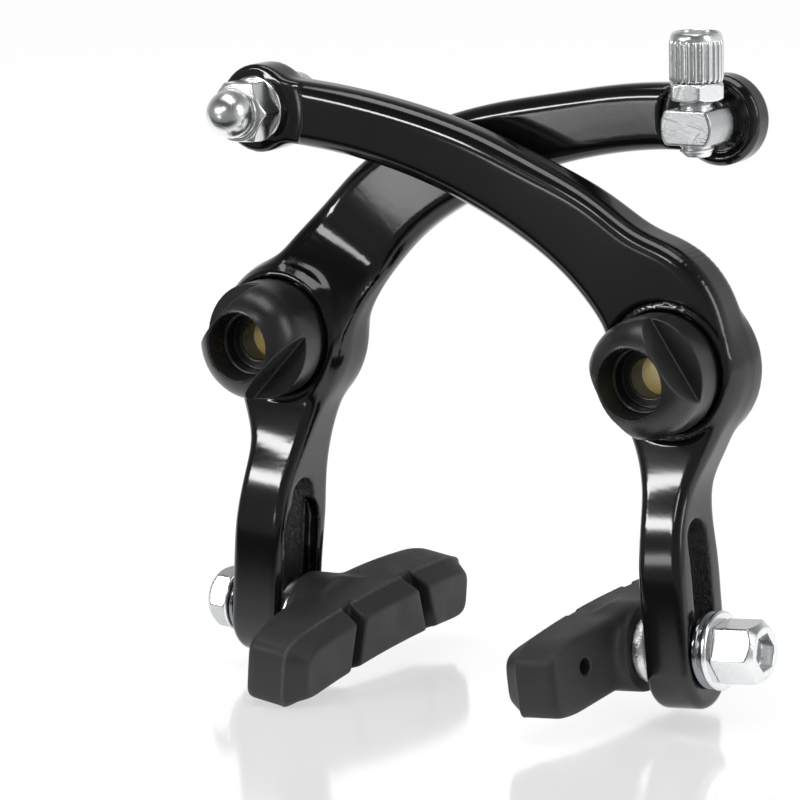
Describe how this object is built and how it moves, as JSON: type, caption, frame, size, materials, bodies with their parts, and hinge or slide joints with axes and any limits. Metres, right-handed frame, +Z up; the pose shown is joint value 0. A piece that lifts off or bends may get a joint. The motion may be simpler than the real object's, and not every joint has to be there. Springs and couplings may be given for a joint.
{
  "type": "u brake",
  "caption": "bicycle U-brake with crossed black cast arms on pivot sleeves, long rubber pads on slotted tabs, a cable anchor and a barrel adjuster",
  "frame": {"origin": "midway between the two pivots, in the plane of the sleeves' rear faces, where the frame's studs meet them", "axes": "X to the right, Y back along the pivot axes, Z up from the pads towards the arms' eyes"},
  "size_m": [0.1133, 0.06, 0.1199],
  "materials": {
    "black_paint": "gloss black paint over a cast aluminium arm",
    "black_cap": "satin-gloss black, moulded",
    "pad_rubber": "matt black moulded rubber",
    "zinc": "bright zinc plate",
    "dark_chrome": "dark bright plate",
    "sleeve_brass": "turned brass",
    "spring_steel": "dull spring steel"
  },
  "bodies": {
    "pivots": {"right_pivot_sleeve": "sleeve_brass", "left_pivot_sleeve": "sleeve_brass"},
    "right_arm_body": {"right_arm": "black_paint", "right_return_spring": "spring_steel"},
    "right_cap": {"right_tension_cap": "black_cap"},
    "right_carrier": {"right_pad_spacer": "zinc", "right_cup_washer": "dark_chrome", "right_flange_washer": "zinc"},
    "right_pad_set": {"right_pad": "pad_rubber", "right_pad_post": "zinc", "right_pad_nut": "zinc"},
    "left_arm_body": {"left_arm": "black_paint", "left_return_spring": "spring_steel"},
    "left_cap": {"left_tension_cap": "black_cap"},
    "left_carrier": {"left_pad_spacer": "zinc", "left_cup_washer": "dark_chrome", "left_flange_washer": "zinc"},
    "left_pad_set": {"left_pad": "pad_rubber", "left_pad_post": "zinc", "left_pad_nut": "zinc"},
    "anchor": {"anchor_bolt": "zinc", "anchor_pinch_washer": "zinc", "anchor_washer": "zinc", "dome_nut": "zinc"},
    "stop": {"cable_stop": "zinc", "cable_stop_clip": "spring_steel"},
    "barrel": {"barrel_adjuster": "zinc"},
    "lock_nut": {"barrel_lock_nut": "zinc"}
  },
  "joints": [
    {"name": "right_arm_turn", "type": "hinge", "parent": "pivots", "child": "right_arm_body", "pos_m": [0.04, 0, 0], "axis": [0, 1, 0], "range_deg": [-6, 11], "stiffness_Nm_per_rad": 6},
    {"name": "right_cap_turn", "type": "hinge", "parent": "pivots", "child": "right_cap", "pos_m": [0.04, 0, 0], "axis": [0, 1, 0], "range_deg": [-60, 60]},
    {"name": "right_post_slide", "type": "slide", "parent": "right_arm_body", "child": "right_carrier", "axis": [-0.0819, 0, 0.9966], "range_m": [-0.002, 0.013]},
    {"name": "right_pad_pitch", "type": "hinge", "parent": "right_carrier", "child": "right_pad_set", "pos_m": [0.04314, -0.0128, -0.0485], "axis": [0.9966, 0, 0.0819], "range_deg": [-12, 12]},
    {"name": "left_arm_turn", "type": "hinge", "parent": "pivots", "child": "left_arm_body", "pos_m": [-0.04, 0, 0], "axis": [0, -1, 0], "range_deg": [-6, 11], "stiffness_Nm_per_rad": 6},
    {"name": "left_cap_turn", "type": "hinge", "parent": "pivots", "child": "left_cap", "pos_m": [-0.04, 0, 0], "axis": [0, -1, 0], "range_deg": [-60, 60]},
    {"name": "left_post_slide", "type": "slide", "parent": "left_arm_body", "child": "left_carrier", "axis": [0.0715, 0, 0.9974], "range_m": [-0.0004, 0.0146]},
    {"name": "left_pad_pitch", "type": "hinge", "parent": "left_carrier", "child": "left_pad_set", "pos_m": [-0.04276, -0.0128, -0.05023], "axis": [-0.9974, 0, 0.0715], "range_deg": [-12, 12]},
    {"name": "anchor_turn", "type": "hinge", "parent": "right_arm_body", "child": "anchor", "pos_m": [-0.0435, -0.009, 0.0409], "axis": [0, 1, 0], "range_deg": [-90, 90]},
    {"name": "stop_turn", "type": "hinge", "parent": "left_arm_body", "child": "stop", "pos_m": [0.04307, -0.0014, 0.04177], "axis": [0, 1, 0], "range_deg": [-30, 90]},
    {"name": "barrel_slide", "type": "slide", "parent": "stop", "child": "barrel", "axis": [0, 0, 1], "range_m": [0, 0.005]},
    {"name": "lock_nut_slide", "type": "slide", "parent": "stop", "child": "lock_nut", "axis": [0, 0, 1], "range_m": [-0.0003, 0]}
  ]
}
